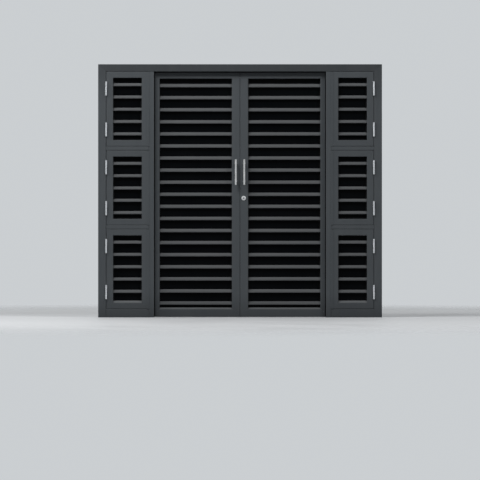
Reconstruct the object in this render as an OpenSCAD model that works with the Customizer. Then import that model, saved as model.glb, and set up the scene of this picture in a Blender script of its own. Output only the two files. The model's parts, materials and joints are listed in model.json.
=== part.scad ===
// Louvred steel window: two inward-opening full-height leaves between two columns
// of three outward-opening casements. Every leaf and casement has fixed louvre
// blades in front of a dark pane. +Z is up and the outside face looks along -Y.
// The origin is at floor level, under the line where the two leaves meet,
// in the middle of the leaves' thickness.

/* [Window] */
// Overall width of the frame
window_w = 2400; // [2200:10:2800]
// Overall height of the frame
window_h = 2140; // [2000:10:2500]

/* [Frame] */
// Depth of each of the two layers of tubes
layer_d = 40; // [38:1:50]
// Face width of each jamb
jamb_w = 67; // [50:1:90]
// Face height of the head
head_h = 62; // [50:1:80]
// Face height of the sills under the casements
sill_h = 70; // [50:1:100]
// Face width of each mullion
mullion_w = 44; // [40:1:60]
// Face height of each transom
transom_h = 33; // [24:1:50]
// How far the rear tubes lap behind a casement
stop_lap = 10; // [8:1:14]
// How far the front tubes lap over a leaf
leaf_lap = 22; // [16:1:26]
// Wall of the steel tubes
tube_wall = 2; // [1.5:0.1:2.5]
// Outer corner radius of the steel tubes
tube_r = 4; // [3:0.5:5]
// Room for the seals between a stop and what closes on it
seal_gap = 2; // [1.5:0.1:3]
// Width of the rubber seals
seal_w = 7; // [5:0.5:7]
// Diameter of the holes for the wall anchors
anchor_hole_d = 10.5; // [8:0.5:14]
// Distance between the two wall anchors of a bay
anchor_pitch = 300; // [150:10:400]

/* [Casements] */
// Width of each casement
casement_w = 356; // [320:1:420]
// Height of the upper casements
upper_casement_h = 630; // [500:1:700]
// Height of the middle casements
middle_casement_h = 630; // [500:1:700]
// Face width of the casement stiles
casement_stile_w = 57; // [52:1:66]
// Face height of the casement rails
casement_rail_h = 52; // [40:1:66]
// Gap beside each casement, and beside and above each leaf
leaf_gap = 3; // [3:0.1:5]
// Gap above and below each casement
end_gap = 1.5; // [1:0.1:3]
// Thickness of the cover strip over the closing gap of a casement
strip_t = 2; // [1.5:0.5:4]
// Width of the cover strip
strip_w = 20; // [16:1:24]

/* [Leaves] */
// Face width of the leaf stiles
leaf_stile_w = 68; // [66:1:90]
// Face height of the top rail of the leaves
leaf_rail_h = 80; // [66:1:120]
// Face height of the bottom rail of the leaves
leaf_foot_h = 66; // [60:1:120]
// Gap between the two leaves
meeting_gap = 2; // [2:0.1:4]
// Gap between the leaves and the floor
floor_gap = 3; // [2:1:12]

/* [Louvres] */
// Height of a leaf's blades seen from the front
leaf_blade_h = 29; // [24:1:36]
// Height of a casement's blades seen from the front
casement_blade_h = 26; // [22:1:36]
// Height of the upright lip along the front of a blade
blade_lip = 8; // [5:1:12]
// Depth of the sloping part of a blade
blade_run = 13; // [9:0.5:13]
// Width of the stiffening folds along both edges of a blade
blade_fold = 4; // [3:0.5:4.5]
// Thickness of the sheet of the blades and weather bars
blade_t = 1.5; // [1:0.1:2]
// How far the blades stand back from the face
blade_set_back = 7; // [4:0.5:7]
// Distance from one blade to the next in a leaf
leaf_pitch = 102.3; // [70:0.1:140]
// Distance from one blade to the next in a casement
casement_pitch = 104; // [70:0.1:140]
// Distance from the top of an opening to the top of its first blade
first_blade = 44; // [20:1:60]
// Height of the weather bars at the foot of the lower casements' openings
casement_bar_h = 18; // [12:1:26]
// Height of the weather bars at the foot of the leaves' openings
leaf_bar_h = 14; // [10:1:26]
// Height of the upright lip along the front of a weather bar
bar_lip = 3; // [2:0.5:6]

/* [Glazing] */
// Thickness of the panes
pane_t = 5; // [4:0.5:6]
// Width of the stops and beads that hold the panes
bead_w = 10; // [8:0.5:12]
// Thickness of the stops in front of the panes
stop_t = 3; // [2:0.5:3]
// Thickness of the beads behind the panes
bead_t = 4; // [3:0.5:4]
// Play round the edge of a pane
pane_play = 2; // [1:0.5:3]

/* [Hinges] */
// Diameter of the hinge barrels
barrel_d = 14; // [12:0.5:18]
// Length of a closed hinge
hinge_l = 120; // [80:2:140]
// Diameter of the hinge pins
pin_d = 8; // [6:0.5:9]
// Distance from a casement's end to the middle of its hinge
casement_hinge_inset = 142; // [90:1:180]
// Distance from a leaf's end to the middle of its outer hinges
leaf_hinge_inset = 220; // [120:1:320]

/* [Handles] */
// Diameter of the pull bars
pull_d = 18; // [14:1:24]
// Length of the pull bars
pull_l = 216; // [180:2:300]
// Distance between the two posts of a pull
post_pitch = 150; // [100:2:170]
// Diameter of the posts
post_d = 12; // [10:1:13]
// Distance from the leaf's face to the axis of a pull bar
pull_stand_off = 45; // [38:1:55]
// Height of the middle of the pulls
pull_z = 1228; // [1200:1:1320]
// Distance from the meeting line to the pulls
pull_x = 36; // [28:1:46]

/* [Lock] */
// Height of the key cylinder
lock_z = 1008; // [960:1:1040]
// Distance from the meeting line to the key cylinder
lock_x = 31; // [28:1:36]
// Diameter of the lock rose
rose_d = 38; // [34:1:44]
// Diameter of the key cylinder
cylinder_d = 23; // [20:0.5:26]
// Diameter of the turning plug
plug_d = 13; // [11:0.5:15]
// Throw of the dead bolt
deadbolt_throw = 18; // [12:1:20]

/* [Bolts] */
// Diameter of the casement bolts
casement_bolt_d = 8; // [6:0.5:10]
// Travel of the casement bolts
casement_bolt_travel = 14; // [10:1:16]
// Diameter of the flush bolts in the left leaf
flush_bolt_d = 10; // [8:0.5:14]
// Travel of the flush bolts
flush_bolt_travel = 20; // [12:1:26]
// Distance from a leaf's end to the knob of its flush bolt
flush_knob_inset = 150; // [140:1:200]

/* [Hidden] */
$fn = 48;

// Fits
slide_play = 0.3;
pin_play = 0.05;
fit_play = 0.2;
weld_gap = 0.2;
cut = 1;

// Widths from the meeting line outwards, on the right-hand side
jamb_x = window_w / 2 - jamb_w;
casement_x1 = jamb_x - leaf_gap;
casement_x0 = casement_x1 - casement_w;
mullion_x1 = casement_x0 - leaf_gap;
mullion_x0 = mullion_x1 - mullion_w;
leaf_x1 = mullion_x0 + leaf_lap;
leaf_x0 = meeting_gap / 2;
stop_x1 = casement_x1 - stop_lap;
stop_x0 = casement_x0 + stop_lap;
rear_mullion_x0 = leaf_x1 + leaf_gap;

// Depths from the outside to the inside
leaf_d = layer_d - seal_gap;
leaf_front = -leaf_d / 2;
leaf_back = leaf_d / 2;
layer_y = leaf_front - seal_gap;
front_y = layer_y - layer_d;
back_y = layer_y + layer_d;
casement_back = layer_y - seal_gap;

// Heights
head_z = window_h - head_h;
leaf_z0 = floor_gap;
leaf_z1 = head_z + leaf_lap;
rear_head_z = leaf_z1 + leaf_gap;
tier_names = ["upper", "middle", "lower"];
upper_z0 = head_z - end_gap - upper_casement_h;
middle_z1 = upper_z0 - 2 * end_gap - transom_h;
middle_z0 = middle_z1 - middle_casement_h;
lower_z1 = middle_z0 - 2 * end_gap - transom_h;
lower = 2;
tier_z0 = [upper_z0, middle_z0, sill_h + end_gap];
tier_z1 = [head_z - end_gap, middle_z1, lower_z1];

// Hinge axes: just proud of the face, over the gap beside the stile
barrel_clear = 0.5;
hinge_stand_off = barrel_d / 2 + barrel_clear;
casement_hinge_x = jamb_x - leaf_gap / 2;
casement_hinge_y = front_y - hinge_stand_off;
leaf_hinge_x = leaf_x1 + leaf_gap / 2;
leaf_hinge_y = leaf_back + hinge_stand_off;
leaf_hinge_z = [leaf_z0 + leaf_hinge_inset, (leaf_z0 + leaf_z1) / 2, leaf_z1 - leaf_hinge_inset];

// Lock works inside the meeting stile of the right leaf
forend_w = 22;
case_t = 18;
case_wall = 1.5;
case_below = 30;
case_above = 44;
forend_margin = 20;
crank_r = deadbolt_throw / sqrt(2);
crank_pin_d = 5;
crank_t = 4;
shaft_d = 8;
deadbolt_t = 8;
deadbolt_y0 = -6;
deadbolt_cover = 8;
deadbolt_tail = 7;
shaft_clear = 0.8;
deadbolt_z0 = shaft_d / 2 + shaft_clear;
deadbolt_h = crank_r + crank_pin_d / 2 + deadbolt_cover - deadbolt_z0;
deadbolt_l = lock_x + crank_r + deadbolt_tail;
crank_clear = 1;
crank_y = deadbolt_y0 + deadbolt_t + crank_clear;
shaft_hole_d = shaft_d + 1;
strike_play = 1;
rose_t = 5;
rose_r = 2.5;
cylinder_proud = 8;

// Casement bolts on the inner face of the closing stiles
bolt_axis_h = 12;
bolt_plate_t = 2;
bolt_plate_h = 26;
bolt_guide_w = 8;
bolt_guide_h = 18;
bolt_knob_d = 7;
bolt_knob_l = 14;
bolt_back = 1.5;
bolt_guide_back = 3;
bolt_guide_cover = 4;
bolt_knob_play = 1;
bolt_hole_play = 1;
bolt_y = casement_back + bolt_axis_h;
bolt_guide_x = stop_x0 + bolt_guide_back;
bolt_guide_span = 2 * bolt_guide_w + bolt_knob_d + casement_bolt_travel + 2 * bolt_knob_play;

// Flush bolts inside the meeting stile of the left leaf
flush_x = leaf_x0 + leaf_stile_w / 2;
flush_guide_h = 16;
flush_guide_w = 30;
flush_guide_gap = 46;
flush_knob_d = 16;
flush_knob_l = 10;
flush_pin_d = 8;
flush_tail = 20;
flush_slot_play = 2;
flush_pin_play = 0.5;
flush_tip_back = 0.5;

// Pull handles
flange_d = 22;
flange_t = 3;
stud_d = 8;
stud_play = 0.3;

steel_grey = [0.27, 0.29, 0.31];
blade_grey = [0.33, 0.34, 0.36];
pane_black = [0.03, 0.035, 0.045, 0.9];
seal_black = [0.05, 0.05, 0.05];
zinc = [0.66, 0.67, 0.68];
stainless = [0.75, 0.75, 0.74];

sides = ["left", "right"];
casement_pieces = ["frame", "louvres", "pane", "fittings", "bolt"];

// Sections

function arc(centre, r, from, steps) =
    [for (i = [0:steps]) centre + r * [cos(from + 90 * i / steps), sin(from + 90 * i / steps)]];

function rounded_outline(x0, y0, x1, y1, r, steps) = concat(
    arc([x1 - r, y1 - r], r, 0, steps),
    arc([x0 + r, y1 - r], r, 90, steps),
    arc([x0 + r, y0 + r], r, 180, steps),
    arc([x1 - r, y0 + r], r, 270, steps)
);

// Hollow section of a steel tube with one corner of its box at the origin
module tube_section(w, d) {
    least_r = 0.5;
    inner_r = max(tube_r - tube_wall, least_r);
    difference() {
        polygon(rounded_outline(0, 0, w, d, tube_r, 4));
        polygon(rounded_outline(tube_wall, tube_wall, w - tube_wall, d - tube_wall, inner_r, 2));
    }
}

// Upright tube
module tube_z(x, y, z) {
    translate([x[0], y[0], z[0]])
        linear_extrude(z[1] - z[0])
            tube_section(x[1] - x[0], y[1] - y[0]);
}

// Level tube along the width
module tube_x(x, y, z) {
    translate([x[0], y[0], z[0]])
        rotate([90, 0, 90])
            linear_extrude(x[1] - x[0])
                tube_section(y[1] - y[0], z[1] - z[0]);
}

// Plate of a given outline in the XZ plane, from y[0] to y[1]
module upright_plate(points, y) {
    translate([0, y[1], 0])
        rotate([90, 0, 0])
            linear_extrude(y[1] - y[0])
                polygon(points);
}

// Block between two mitre lines: each starts at an outer corner and runs along its own direction
module between_mitres(corner_a, run_a, corner_b, run_b, y) {
    over = 0.1;
    points = [
        corner_a - over * run_a,
        corner_b - over * run_b,
        corner_b + (1 + over) * run_b,
        corner_a + (1 + over) * run_a
    ];
    upright_plate(points, [y[0] - cut, y[1] + cut]);
}

// Welded frame of four mitred tubes, a weld gap apart: x, y and z are its limits
module mitred_frame(x, y, z, stile_w, top_h, foot_h) {
    low_left = [stile_w, foot_h];
    low_right = [-stile_w, foot_h];
    top_left = [stile_w, -top_h];
    top_right = [-stile_w, -top_h];
    along = [weld_gap / 2, 0];
    up = [0, weld_gap / 2];
    intersection() {
        tube_x(x, y, [z[0], z[0] + foot_h]);
        between_mitres([x[0], z[0]] + along, low_left, [x[1], z[0]] - along, low_right, y);
    }
    intersection() {
        tube_x(x, y, [z[1] - top_h, z[1]]);
        between_mitres([x[0], z[1]] + along, top_left, [x[1], z[1]] - along, top_right, y);
    }
    intersection() {
        tube_z([x[0], x[0] + stile_w], y, z);
        between_mitres([x[0], z[0]] + up, low_left, [x[0], z[1]] - up, top_left, y);
    }
    intersection() {
        tube_z([x[1] - stile_w, x[1]], y, z);
        between_mitres([x[1], z[0]] + up, low_right, [x[1], z[1]] - up, top_right, y);
    }
}

// Flat ring of bar round the inside of an opening
module flat_ring(x, y, z, w) {
    difference() {
        translate([x[0], y[0], z[0]])
            cube([x[1] - x[0], y[1] - y[0], z[1] - z[0]]);
        translate([x[0] + w, y[0] - cut, z[0] + w])
            cube([x[1] - x[0] - 2 * w, y[1] - y[0] + 2 * cut, z[1] - z[0] - 2 * w]);
    }
}

// Four mitred bars round the inside of an opening, a hair apart at the corners
module glazing_bars(x, y, z) {
    a = [x[0] + fit_play, z[0] + fit_play];
    b = [x[1] - fit_play, z[1] - fit_play];
    w = bead_w;
    g = fit_play;
    level = [[a[0] + g, 0], [b[0] - g, 0], [b[0] - w - g, w], [a[0] + w + g, w]];
    upright = [[0, a[1] + g], [w, a[1] + w + g], [w, b[1] - w - g], [0, b[1] - g]];
    upright_plate([for (p = level) [p[0], a[1] + p[1]]], y);
    upright_plate([for (p = level) [p[0], b[1] - p[1]]], y);
    upright_plate([for (p = upright) [a[0] + p[0], p[1]]], y);
    upright_plate([for (p = upright) [b[0] - p[0], p[1]]], y);
}

// Cylinder along the depth, from y[0] to y[1]
module rod_y(x, y, z, d) {
    translate([x, y[1], z])
        rotate([90, 0, 0])
            cylinder(h = y[1] - y[0], d = d);
}

// Everything is drawn on the right-hand side and mirrored for the left
module on_side(side) {
    if (side == "right")
        children();
    else
        mirror([1, 0, 0])
            children();
}

// Louvre blades

function turned(v) = [-v[1], v[0]];

function unit(v) = v / norm(v);

// Open path moved sideways by a distance, with mitred bends
function beside(path, d) = [
    for (i = [0:len(path) - 1])
        let (
            into = i == 0 ? path[1] - path[0] : path[i] - path[i - 1],
            out = i == len(path) - 1 ? into : path[i + 1] - path[i],
            m = turned(unit(into)) + turned(unit(out))
        )
        path[i] + 2 * d * m / (m * m)
];

// Open path with each bend replaced by a short curve
function softened(path, r) = concat(
    [path[0]],
    [
        for (i = [1:len(path) - 2])
            let (
                a = path[i] - r * unit(path[i] - path[i - 1]),
                b = path[i] + r * unit(path[i + 1] - path[i])
            )
            for (s = [0, 0.33, 0.67, 1])
                (1 - s) * (1 - s) * a + 2 * s * (1 - s) * path[i] + s * s * b
    ],
    [path[len(path) - 1]]
);

function reversed(list) = [for (i = [len(list) - 1:-1:0]) list[i]];

// Folded sheet seen from its end: front hem, upright lip, slope and rear flange
function blade_outline(height) =
    let (
        h = blade_t / 2,
        top = height - h,
        path = softened(
            [
                [blade_fold, h], [h, h], [h, blade_lip],
                [h + blade_run, top], [h + blade_run + blade_fold, top]
            ],
            blade_t
        )
    )
    concat(beside(path, h), reversed(beside(path, -h)));

module blade(x, y, z, height) {
    translate([x[0], y, z])
        rotate([90, 0, 90])
            linear_extrude(x[1] - x[0])
                polygon(blade_outline(height));
}

// Blades across an opening, from its top down, as many as fit
module blades(x, y, z, height, pitch) {
    top = z[1] - first_blade - height;
    count = floor((top - z[0]) / pitch) + 1;
    color(blade_grey)
        for (i = [0:count - 1])
            blade(x, y + blade_set_back, top - i * pitch, height);
}

// Folded sheet seen from its end: upright lip and a slope up to the stop of the pane
function weather_bar_outline(run, height) =
    let (
        h = blade_t / 2,
        path = softened([[h, 0], [h, bar_lip], [run - h, height - h]], blade_t)
    )
    concat(beside(path, h), reversed(beside(path, -h)));

// Bar that sheds rain at the foot of an opening: y is the outer face of the leaf or casement
module weather_bar(x, y, z, height) {
    run = leaf_d - tube_r - stop_t - pane_t - bead_t - fit_play;
    translate([x[0] + weld_gap, y + tube_r, z + weld_gap])
        rotate([90, 0, 90])
            linear_extrude(x[1] - x[0] - 2 * weld_gap)
                polygon(weather_bar_outline(run, height));
}

// Pane, its stop and its beads: y is the inner face of the leaf or casement

module pane(x, y, z) {
    color(pane_black)
        translate([x[0] + pane_play, y - bead_t - pane_t, z[0] + pane_play])
            cube([x[1] - x[0] - 2 * pane_play, pane_t, z[1] - z[0] - 2 * pane_play]);
}

module pane_holders(x, y, z) {
    glazing_bars(x, [y - bead_t - pane_t - stop_t, y - bead_t - pane_t], z);
    glazing_bars(x, [y - bead_t, y], z);
}

// Weld-on hinges: a fixed half with a pin below and a sleeve above

barrel_chamfer = 1.5;
knuckle_gap = slide_play;
pin_cap = 10;
pin_relief = 1;
pin_reach = hinge_l / 2 - pin_cap;
tang_w = 8;
tang_t = 3;
tang_inset = 6;
tang_l = hinge_l / 2 - 2 * tang_inset;
hinges_apart = 20;

// Turned shape with its axis on Z
module turned_barrel(d, h) {
    rotate_extrude()
        polygon([[0, 0], [d / 2 - barrel_chamfer, 0], [d / 2, barrel_chamfer], [d / 2, h], [0, h]]);
}

// Weld tang beside a barrel: it lies on the face that the barrel stands proud of
module hinge_tang(face, toward) {
    near = leaf_gap / 2 + barrel_clear;
    far = leaf_gap / 2 + tube_r + tang_w;
    depth = face > 0 ? hinge_stand_off - tang_t : -hinge_stand_off;
    translate([toward > 0 ? near : -far, depth, 0])
        cube([far - near, tang_t, tang_l]);
}

// Fixed half, with the middle of the hinge at the origin
module hinge_pin(face, toward) {
    translate([0, 0, -hinge_l / 2])
        turned_barrel(barrel_d, hinge_l / 2 - knuckle_gap / 2);
    translate([0, 0, -hinge_l / 4])
        cylinder(h = hinge_l / 4 + pin_reach, d = pin_d);
    translate([0, 0, -hinge_l / 2 + tang_inset])
        hinge_tang(face, toward);
}

// Moving half
module hinge_sleeve(face, toward) {
    difference() {
        union() {
            translate([0, 0, hinge_l / 2])
                mirror([0, 0, 1])
                    turned_barrel(barrel_d, hinge_l / 2 - knuckle_gap / 2);
            translate([0, 0, tang_inset])
                hinge_tang(face, toward);
        }
        translate([0, 0, -cut])
            cylinder(h = pin_reach + cut + pin_relief, d = pin_d + 2 * pin_play);
    }
}

// Middles of a casement's two hinges, nearer its ends where it is too short to hold them apart
function casement_hinge_z(tier) =
    let (
        room = (tier_z1[tier] - tier_z0[tier] - hinge_l - hinges_apart) / 2,
        inset = min(casement_hinge_inset, room)
    )
    [tier_z0[tier] + inset, tier_z1[tier] - inset];

module casement_hinge_pins() {
    color(zinc)
        for (side = sides, tier = [0:2], z = [0, 1])
            on_side(side)
                translate([casement_hinge_x, casement_hinge_y, casement_hinge_z(tier)[z]])
                    hinge_pin(1, 1);
}

module leaf_hinge_pins() {
    color(zinc)
        for (side = sides, z = leaf_hinge_z)
            on_side(side)
                translate([leaf_hinge_x, leaf_hinge_y, z])
                    hinge_pin(-1, 1);
}

// Frame

module head() {
    outer = window_w / 2;
    color(steel_grey) {
        intersection() {
            tube_x([-outer, outer], [front_y, layer_y], [head_z, window_h]);
            between_mitres(
                [-outer, window_h], [jamb_w, -head_h],
                [outer, window_h], [-jamb_w, -head_h],
                [front_y, layer_y]
            );
        }
        rear_h = window_h - rear_head_z;
        rear_w = outer - stop_x1;
        difference() {
            intersection() {
                tube_x([-outer, outer], [layer_y + fit_play, back_y], [rear_head_z, window_h]);
                between_mitres(
                    [-outer, window_h], [rear_w, -rear_h],
                    [outer, window_h], [-rear_w, -rear_h],
                    [layer_y, back_y]
                );
            }
            translate([-flush_x, 0, rear_head_z - cut])
                cylinder(h = tube_wall + 2 * cut, d = flush_bolt_d + bolt_hole_play);
        }
        for (side = sides)
            on_side(side)
                tube_x(
                    [stop_x0, stop_x1],
                    [layer_y + fit_play, back_y],
                    [tier_z1[0] - stop_lap, rear_head_z - fit_play]
                );
    }
}

// Heights of the wall anchors: two in the upper bay and two in the lower bay
function anchor_z() = [
    for (tier = [0, lower], end = [-1, 1])
        (tier_z0[tier] + tier_z1[tier]) / 2 + end * anchor_pitch / 2
];

module jamb() {
    outer = window_w / 2;
    foot_over = 10;
    color(steel_grey) {
        intersection() {
            tube_z([jamb_x, outer], [front_y, layer_y], [0, window_h]);
            between_mitres(
                [outer, window_h], [-jamb_w, -head_h],
                [outer, -foot_over], [-jamb_w, 0],
                [front_y, layer_y]
            );
        }
        difference() {
            intersection() {
                tube_z([stop_x1, outer], [layer_y + fit_play, back_y], [0, window_h]);
                between_mitres(
                    [outer, window_h], [stop_x1 - outer, rear_head_z - window_h],
                    [outer, -foot_over], [stop_x1 - outer, 0],
                    [layer_y, back_y]
                );
            }
            for (z = anchor_z())
                translate([stop_x1 - cut, (layer_y + back_y) / 2, z])
                    rotate([0, 90, 0])
                        cylinder(h = outer - stop_x1 + 2 * cut, d = anchor_hole_d);
        }
    }
}

module mullion() {
    color(steel_grey) {
        tube_z([mullion_x0, mullion_x1], [front_y, layer_y], [0, head_z]);
        difference() {
            tube_z([rear_mullion_x0, stop_x0], [layer_y + fit_play, back_y], [0, rear_head_z]);
            for (tier = [0:2])
                translate([stop_x0 - tube_wall - cut, bolt_y, bolt_z(tier)])
                    rotate([0, 90, 0])
                        cylinder(h = tube_wall + 2 * cut, d = casement_bolt_d + bolt_hole_play);
        }
    }
}

module sill() {
    color(steel_grey) {
        tube_x([mullion_x1, jamb_x], [front_y, layer_y], [0, sill_h]);
        tube_x([stop_x0, stop_x1], [layer_y + fit_play, back_y], [0, tier_z0[2] + stop_lap]);
    }
}

module transoms() {
    color(steel_grey)
        for (side = sides, tier = [0, 1])
            on_side(side) {
                z0 = tier_z1[tier + 1] + end_gap;
                tube_x([mullion_x1, jamb_x], [front_y, layer_y], [z0, z0 + transom_h]);
                tube_x(
                    [stop_x0, stop_x1],
                    [layer_y + fit_play, back_y],
                    [tier_z1[tier + 1] - stop_lap, tier_z0[tier] + stop_lap]
                );
            }
}

// Rubber strips on the stops, just clear of what closes on them
module frame_seals() {
    seal_t = seal_gap - slide_play;
    inset = 1;
    color(seal_black)
        for (side = sides)
            on_side(side) {
                for (tier = [0:2])
                    flat_ring(
                        [casement_x0 + inset, casement_x1 - inset],
                        [layer_y - seal_t + fit_play, layer_y + fit_play],
                        [tier_z0[tier] + inset, tier_z1[tier] - inset],
                        seal_w
                    );
                translate([leaf_x1 - inset - seal_w, layer_y, leaf_z0])
                    cube([seal_w, seal_t, leaf_z1 - inset - leaf_z0]);
                translate([0, layer_y, leaf_z1 - inset - seal_w])
                    cube([leaf_x1 - inset - seal_w, seal_t, seal_w]);
            }
}

// Casements

function casement_opening_x() = [casement_x0 + casement_stile_w, casement_x1 - casement_stile_w];

function casement_opening_z(tier) = [tier_z0[tier] + casement_rail_h, tier_z1[tier] - casement_rail_h];

function bolt_z(tier) = (tier_z0[tier] + tier_z1[tier]) / 2;

module casement_frame(tier) {
    z = [tier_z0[tier], tier_z1[tier]];
    color(steel_grey) {
        mitred_frame(
            [casement_x0, casement_x1], [front_y, casement_back], z,
            casement_stile_w, casement_rail_h, casement_rail_h
        );
        translate([casement_x0 + tube_r - strip_w / 2, front_y - strip_t, z[0]])
            cube([strip_w, strip_t - weld_gap, z[1] - z[0]]);
        pane_holders(casement_opening_x(), casement_back, casement_opening_z(tier));
        if (tier == lower)
            weather_bar(casement_opening_x(), front_y, casement_opening_z(tier)[0], casement_bar_h);
    }
}

module casement_louvres(tier) {
    blades(casement_opening_x(), front_y, casement_opening_z(tier), casement_blade_h, casement_pitch);
}

module casement_pane(tier) {
    pane(casement_opening_x(), casement_back, casement_opening_z(tier));
}

// Hinge sleeves and the guide of the slide bolt
module casement_fittings(tier) {
    color(zinc) {
        for (z = casement_hinge_z(tier))
            translate([casement_hinge_x, casement_hinge_y, z])
                hinge_sleeve(1, -1);
        translate([bolt_guide_x, casement_back, bolt_z(tier)])
            bolt_guide();
    }
}

// Plate with two bored blocks, from the end next to the mullion
module bolt_guide() {
    difference() {
        union() {
            translate([0, 0, -bolt_plate_h / 2])
                cube([bolt_guide_span, bolt_plate_t, bolt_plate_h]);
            for (x = [0, bolt_guide_span - bolt_guide_w])
                translate([x, 0, -bolt_guide_h / 2])
                    cube([bolt_guide_w, bolt_axis_h + casement_bolt_d / 2 + bolt_guide_cover, bolt_guide_h]);
        }
        translate([-cut, bolt_axis_h, 0])
            rotate([0, 90, 0])
                cylinder(h = bolt_guide_span + 2 * cut, d = casement_bolt_d + 2 * pin_play);
    }
}

// Slide bolt, drawn back: its tip just short of the mullion and its knob at the far block
module casement_bolt(tier) {
    tip = stop_x0 + bolt_back;
    guide_end = bolt_guide_x + bolt_guide_span;
    tail = guide_end + casement_bolt_travel + bolt_knob_play;
    knob_x = guide_end - bolt_guide_w - bolt_knob_d / 2 - bolt_knob_play;
    color(stainless)
        translate([0, bolt_y, bolt_z(tier)]) {
            translate([tip, 0, 0])
                rotate([0, 90, 0])
                    cylinder(h = tail - tip, d = casement_bolt_d);
            rod_y(knob_x, [0, casement_bolt_d / 2 + bolt_knob_l], 0, bolt_knob_d);
        }
}

// Leaves

leaf_opening_x = [leaf_x0 + leaf_stile_w, leaf_x1 - leaf_stile_w];
leaf_opening_z = [leaf_z0 + leaf_foot_h, leaf_z1 - leaf_rail_h];

module leaf_tubes() {
    mitred_frame(
        [leaf_x0, leaf_x1], [leaf_front, leaf_back], [leaf_z0, leaf_z1],
        leaf_stile_w, leaf_rail_h, leaf_foot_h
    );
}

// Stops, beads and weather bar in the opening of a leaf
module leaf_bars() {
    pane_holders(leaf_opening_x, leaf_back, leaf_opening_z);
    weather_bar(leaf_opening_x, leaf_front, leaf_opening_z[0], leaf_bar_h);
}

// Holes through the meeting stile for the studs of the pulls
module stud_holes() {
    for (end = [-1, 1])
        rod_y(
            pull_x, [leaf_front - cut, leaf_back + cut],
            pull_z + end * post_pitch / 2, stud_d + 2 * stud_play
        );
}

// Pocket through the closing edge of a meeting stile
module edge_pocket(z, play) {
    translate([leaf_x0 - cut, -forend_w / 2 - play, z[0] - play])
        cube([tube_wall + 2 * cut, forend_w + 2 * play, z[1] - z[0] + 2 * play]);
}

forend_z = [lock_z - case_below - forend_margin, lock_z + case_above + forend_margin];
strike_z = [lock_z + deadbolt_z0 - forend_margin, lock_z + deadbolt_z0 + deadbolt_h + forend_margin];

// Slots and end holes for the flush bolts
module flush_bolt_holes() {
    slot_h = flush_pin_d + flush_bolt_travel + 2 * flush_slot_play;
    hole_d = flush_bolt_d + bolt_hole_play;
    for (end = [0, 1])
        leaf_end(end) {
            translate([flush_x, 0, -cut])
                cylinder(h = tube_wall + 2 * cut, d = hole_d);
            translate([flush_x, leaf_back, flush_knob_inset - flush_bolt_travel / 2])
                cube([flush_pin_d + 2 * flush_pin_play, 2 * (tube_wall + cut), slot_h], center = true);
        }
}

// Foot of a leaf at the origin for end 0, and its top, upside down, for end 1
module leaf_end(end) {
    if (end == 0)
        translate([0, 0, leaf_z0])
            children();
    else
        translate([0, 0, leaf_z1])
            mirror([0, 0, 1])
                children();
}

module right_leaf_frame() {
    color(steel_grey) {
        difference() {
            leaf_tubes();
            stud_holes();
            edge_pocket(forend_z, fit_play);
            rod_y(
                lock_x, [leaf_front - cut, leaf_front + tube_wall + cut],
                lock_z, cylinder_d + 2 * fit_play
            );
            rod_y(lock_x, [leaf_back - tube_wall - cut, leaf_back + cut], lock_z, shaft_hole_d);
        }
        leaf_bars();
    }
}

module left_leaf_frame() {
    color(steel_grey)
        mirror([1, 0, 0]) {
            difference() {
                leaf_tubes();
                stud_holes();
                edge_pocket(strike_z, fit_play);
                flush_bolt_holes();
            }
            leaf_bars();
        }
}

module leaf_louvres() {
    blades(leaf_opening_x, leaf_front, leaf_opening_z, leaf_blade_h, leaf_pitch);
}

module leaf_pane() {
    pane(leaf_opening_x, leaf_back, leaf_opening_z);
}

module leaf_hinge_sleeves() {
    color(zinc)
        for (z = leaf_hinge_z)
            translate([leaf_hinge_x, leaf_hinge_y, z])
                hinge_sleeve(-1, -1);
}

// Pull bar on two posts, welded in one piece: face is -1 outside and 1 inside
module pull(face) {
    seat = face * leaf_d / 2;
    axis = seat + face * pull_stand_off;
    bar_chamfer = 1.5;
    translate([pull_x, axis, pull_z - pull_l / 2])
        rotate_extrude()
            polygon([
                [0, 0], [pull_d / 2 - bar_chamfer, 0], [pull_d / 2, bar_chamfer],
                [pull_d / 2, pull_l - bar_chamfer], [pull_d / 2 - bar_chamfer, pull_l], [0, pull_l]
            ]);
    for (end = [-1, 1]) {
        z = pull_z + end * post_pitch / 2;
        rod_y(pull_x, [min(seat, axis), max(seat, axis)], z, post_d);
        rod_y(pull_x, [min(seat, seat + face * flange_t), max(seat, seat + face * flange_t)], z, flange_d);
    }
}

// Outer and inner pull with the studs that clamp them to the stile
module pull_handles() {
    color(stainless) {
        pull(-1);
        pull(1);
        for (end = [-1, 1])
            rod_y(
                pull_x, [leaf_front + fit_play, leaf_back - fit_play],
                pull_z + end * post_pitch / 2, stud_d
            );
    }
}

// Lock

// Slot that the dead bolt slides through
module deadbolt_slot(x, play) {
    translate([x - cut, deadbolt_y0 - play, lock_z + deadbolt_z0 - play])
        cube([tube_wall + 2 * cut, deadbolt_t + 2 * play, deadbolt_h + 2 * play]);
}

// Forend let into the edge of the stile, with the sheet case behind it
module lock_case() {
    back_x = lock_x + deadbolt_throw + crank_r;
    color(zinc)
        difference() {
            union() {
                translate([leaf_x0, -forend_w / 2, forend_z[0]])
                    cube([tube_wall, forend_w, forend_z[1] - forend_z[0]]);
                translate([leaf_x0 + tube_wall, -case_t / 2, lock_z - case_below])
                    cube([back_x - leaf_x0 - tube_wall, case_t, case_below + case_above]);
            }
            translate([leaf_x0 + tube_wall, -case_t / 2 + case_wall, lock_z - case_below + case_wall])
                cube([
                    back_x - leaf_x0 - tube_wall - case_wall,
                    case_t - 2 * case_wall,
                    case_below + case_above - 2 * case_wall
                ]);
            deadbolt_slot(leaf_x0, slide_play);
            rod_y(lock_x, [-case_t / 2 - cut, case_t / 2 + cut], lock_z, shaft_hole_d);
        }
}

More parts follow.
